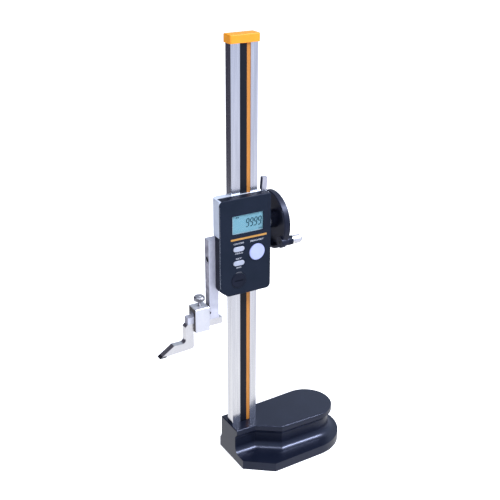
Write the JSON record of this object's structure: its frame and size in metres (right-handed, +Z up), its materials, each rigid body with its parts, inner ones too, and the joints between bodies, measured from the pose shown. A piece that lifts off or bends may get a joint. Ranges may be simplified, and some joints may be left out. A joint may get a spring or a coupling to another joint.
{
  "type": "height gauge",
  "caption": "Digital height gauge with a flat-bottomed cast base, steel column, rack-driven display slider with crank wheel, and a clamped carbide-tipped scriber.",
  "frame": {"origin": "on the base's flat underside, directly under the centre of the column", "axes": "+Z up along the column, +X along the base towards its round end, display facing -Y"},
  "size_m": [0.2198, 0.1006, 0.4756],
  "materials": {
    "casting_paint": "semi-gloss enamel over cast iron",
    "column_steel": "ground and polished",
    "scale_black": "printed scale strip",
    "stripe_orange": "gloss orange",
    "rack_steel": "machined",
    "screw_steel": "zinc plated",
    "slider_metal": "satin plated casting",
    "bronze": "machined",
    "black_plastic": "semi-gloss moulding",
    "panel_black": "satin panel",
    "wheel_black": "moulded hand wheel",
    "window_glass": "clear window",
    "lcd_teal": "reflective display cell",
    "board_green": "circuit laminate",
    "switch_plastic": "moulded",
    "key_lavender": "satin keys",
    "cell_steel": "nickel plated",
    "jaw_steel": "satin chrome plated steel",
    "carbide": "ground carbide",
    "knob_metal": "bright turned"
  },
  "bodies": {
    "stand": {"base_casting": "casting_paint", "column": "column_steel", "scale_strip": "scale_black", "accent_stripe": "stripe_orange", "column_cap": "stripe_orange", "column_screws": "screw_steel", "rack": "rack_steel", "rack_screws": "screw_steel"},
    "slider": {"slider_body": "slider_metal", "gib": "bronze", "gib_screws": "screw_steel", "encoder_head": "switch_plastic", "gear_case": "slider_metal", "case_screws": "screw_steel", "shaft_bushes": "bronze", "lever_pin": "rack_steel", "display_housing": "black_plastic", "housing_screws": "screw_steel", "data_port_cover": "black_plastic", "front_panel": "panel_black", "lcd_window": "window_glass", "circuit_board": "board_green", "lcd_module": "lcd_teal", "tact_switches": "switch_plastic", "battery": "cell_steel", "battery_contact": "cell_steel", "jaw_arm": "jaw_steel", "arm_screw": "screw_steel", "arm_dowels": "rack_steel"},
    "hand_wheel": {"wheel_shaft": "rack_steel", "retaining_ring": "screw_steel", "pinion": "rack_steel", "feed_wheel": "wheel_black", "wheel_screw": "screw_steel", "crank_sleeve": "black_plastic", "crank_ring": "knob_metal", "crank_pin": "rack_steel"},
    "crank_knob": {"crank_knob": "knob_metal"},
    "clamp_lever": {"clamp_lever": "jaw_steel"},
    "clamp_shoe": {"clamp_shoe": "bronze"},
    "round_key": {"round_key": "key_lavender"},
    "upper_key": {"upper_key": "key_lavender"},
    "lower_key": {"lower_key": "key_lavender"},
    "battery_cap": {"battery_cap": "black_plastic"},
    "scriber": {"scriber": "jaw_steel", "carbide_tip": "carbide"},
    "scriber_clamp": {"scriber_clamp": "jaw_steel", "clamp_pad": "bronze"},
    "thumb_screw": {"thumb_screw": "jaw_steel"}
  },
  "joints": [
    {"name": "slider_travel", "type": "slide", "parent": "stand", "child": "slider", "axis": [0, 0, 1], "range_m": [-0.15, 0.15]},
    {"name": "wheel_spin", "type": "hinge", "parent": "slider", "child": "hand_wheel", "pos_m": [0, 0.01175, 0.2725], "axis": [1, 0, 0], "range_deg": [-1228, 1228]},
    {"name": "knob_spin", "type": "hinge", "parent": "hand_wheel", "child": "crank_knob", "pos_m": [0.061, -0.01222, 0.25463], "axis": [1, 0, 0], "continuous": true},
    {"name": "clamp_lever_turn", "type": "hinge", "parent": "slider", "child": "clamp_lever", "pos_m": [0.0208, -0.0059, 0.303], "axis": [0, 1, 0], "range_deg": [0, 25]},
    {"name": "clamp_shoe_press", "type": "slide", "parent": "slider", "child": "clamp_shoe", "axis": [-1, 0, 0], "range_m": [0, 0.00013]},
    {"name": "round_key_press", "type": "slide", "parent": "slider", "child": "round_key", "axis": [0, 1, 0], "range_m": [0, 0.0008], "stiffness_N_per_m": 900},
    {"name": "upper_key_press", "type": "slide", "parent": "slider", "child": "upper_key", "axis": [0, 1, 0], "range_m": [0, 0.0008], "stiffness_N_per_m": 900},
    {"name": "lower_key_press", "type": "slide", "parent": "slider", "child": "lower_key", "axis": [0, 1, 0], "range_m": [0, 0.0008], "stiffness_N_per_m": 900},
    {"name": "battery_cap_turn", "type": "hinge", "parent": "slider", "child": "battery_cap", "pos_m": [-0.0138, -0.0177, 0.2247], "axis": [0, 1, 0], "range_deg": [0, 60]},
    {"name": "scriber_slide", "type": "slide", "parent": "slider", "child": "scriber", "axis": [1, 0, 0], "range_m": [-0.012, 0]},
    {"name": "scriber_clamp_slide", "type": "slide", "parent": "slider", "child": "scriber_clamp", "axis": [1, 0, 0], "range_m": [0, 0.0015]},
    {"name": "thumb_screw_turn", "type": "hinge", "parent": "scriber_clamp", "child": "thumb_screw", "pos_m": [-0.053, -0.00405, 0.2], "axis": [0, 0, 1], "range_deg": [0, 360]}
  ],
  "couplings": [
    {"joint": "wheel_spin", "follows": "slider_travel", "rad_per_m": 142.86},
    {"joint": "clamp_shoe_press", "follows": "clamp_lever_turn", "m_per_rad": 0.00029}
  ]
}
